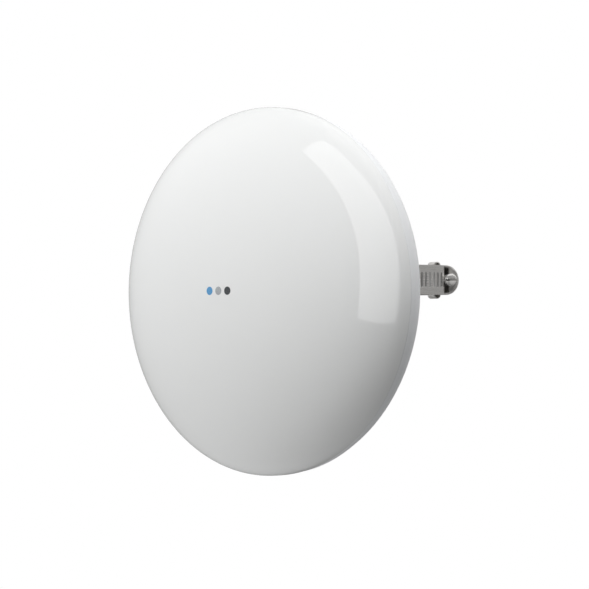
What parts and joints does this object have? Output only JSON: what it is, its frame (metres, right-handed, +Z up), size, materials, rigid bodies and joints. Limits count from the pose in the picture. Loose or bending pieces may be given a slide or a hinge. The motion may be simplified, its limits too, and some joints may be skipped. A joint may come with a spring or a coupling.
{
  "type": "outdoor wireless bridge",
  "caption": "Dish radio head under a white domed cover, on a ball joint with a lock nut, strapped to a round pole by a worm-drive band.",
  "frame": {"origin": "on the pole's axis, level with the centre of the ball joint", "axes": "+Z up along the pole, the radio head looks along -Y, +X to the head's left as it looks out"},
  "size_m": [0.189, 0.1719, 0.189],
  "materials": {
    "gloss_white": "gloss",
    "satin_white": "satin",
    "grey_plastic": "satin",
    "black_rubber": "matt",
    "acetal": "satin",
    "steel": "bright",
    "aluminium": "satin",
    "circuit_board": "satin",
    "tin_plate": "bright",
    "clear_lens": "clear",
    "ferrite": "matt"
  },
  "bodies": {
    "bracket": {"pole_bracket": "grey_plastic", "clamp_band": "steel", "clamp_saddle": "steel", "clamp_housing": "steel"},
    "worm": {"clamp_screw": "steel"},
    "front_seat": {"ball_seat_front": "acetal"},
    "rear_seat": {"ball_seat_rear": "acetal"},
    "head": {"radome_cover": "gloss_white", "rear_shell": "satin_white", "rim_gasket": "black_rubber", "reflector_dish": "aluminium", "feed_tube": "satin_white", "sub_reflector": "aluminium", "main_board": "circuit_board", "rf_shield_can": "tin_plate", "poe_transformer": "ferrite", "ethernet_jack": "tin_plate", "reset_switch": "grey_plastic", "vent_plug": "grey_plastic", "status_led_1": "clear_lens", "status_led_2": "clear_lens", "status_led_3": "clear_lens", "light_pipe_1": "clear_lens", "light_pipe_2": "clear_lens", "light_pipe_3": "clear_lens", "board_screw_1": "steel", "board_screw_2": "steel", "board_screw_3": "steel", "board_screw_4": "steel"},
    "washer": {"slip_washer": "steel"},
    "nut": {"lock_nut": "grey_plastic"},
    "bay_cover": {"port_cover": "satin_white", "cable_grommet": "black_rubber"},
    "reset": {"reset_button": "grey_plastic"}
  },
  "joints": [
    {"name": "azimuth_pan", "type": "hinge", "parent": "bracket", "child": "front_seat", "pos_m": [0, -0.05449, 0], "axis": [0, 0, 1], "range_deg": [-20, 20]},
    {"name": "elevation_tilt", "type": "hinge", "parent": "front_seat", "child": "rear_seat", "pos_m": [0, -0.05449, 0], "axis": [1, 0, 0], "range_deg": [-20, 20]},
    {"name": "boresight_roll", "type": "hinge", "parent": "rear_seat", "child": "head", "pos_m": [0, -0.05449, 0], "axis": [0, 1, 0], "continuous": true},
    {"name": "nut_travel", "type": "slide", "parent": "head", "child": "washer", "axis": [0, 1, 0], "range_m": [0, 0.0015]},
    {"name": "nut_turn", "type": "hinge", "parent": "washer", "child": "nut", "pos_m": [0, -0.05449, 0], "axis": [0, 1, 0], "range_deg": [0, 180]},
    {"name": "port_cover_slide", "type": "slide", "parent": "head", "child": "bay_cover", "axis": [0, 0, -1], "range_m": [0, 0.028]},
    {"name": "reset_press", "type": "slide", "parent": "head", "child": "reset", "axis": [0, 0, 1], "range_m": [0, 0.0008], "stiffness_N_per_m": 2500},
    {"name": "clamp_screw_turn", "type": "hinge", "parent": "bracket", "child": "worm", "pos_m": [0.00941, 0.02584, 0.007], "axis": [-0.9397, 0.342, 0], "continuous": true}
  ],
  "couplings": [
    {"joint": "nut_travel", "follows": "nut_turn", "m_per_rad": 0.00047746}
  ]
}
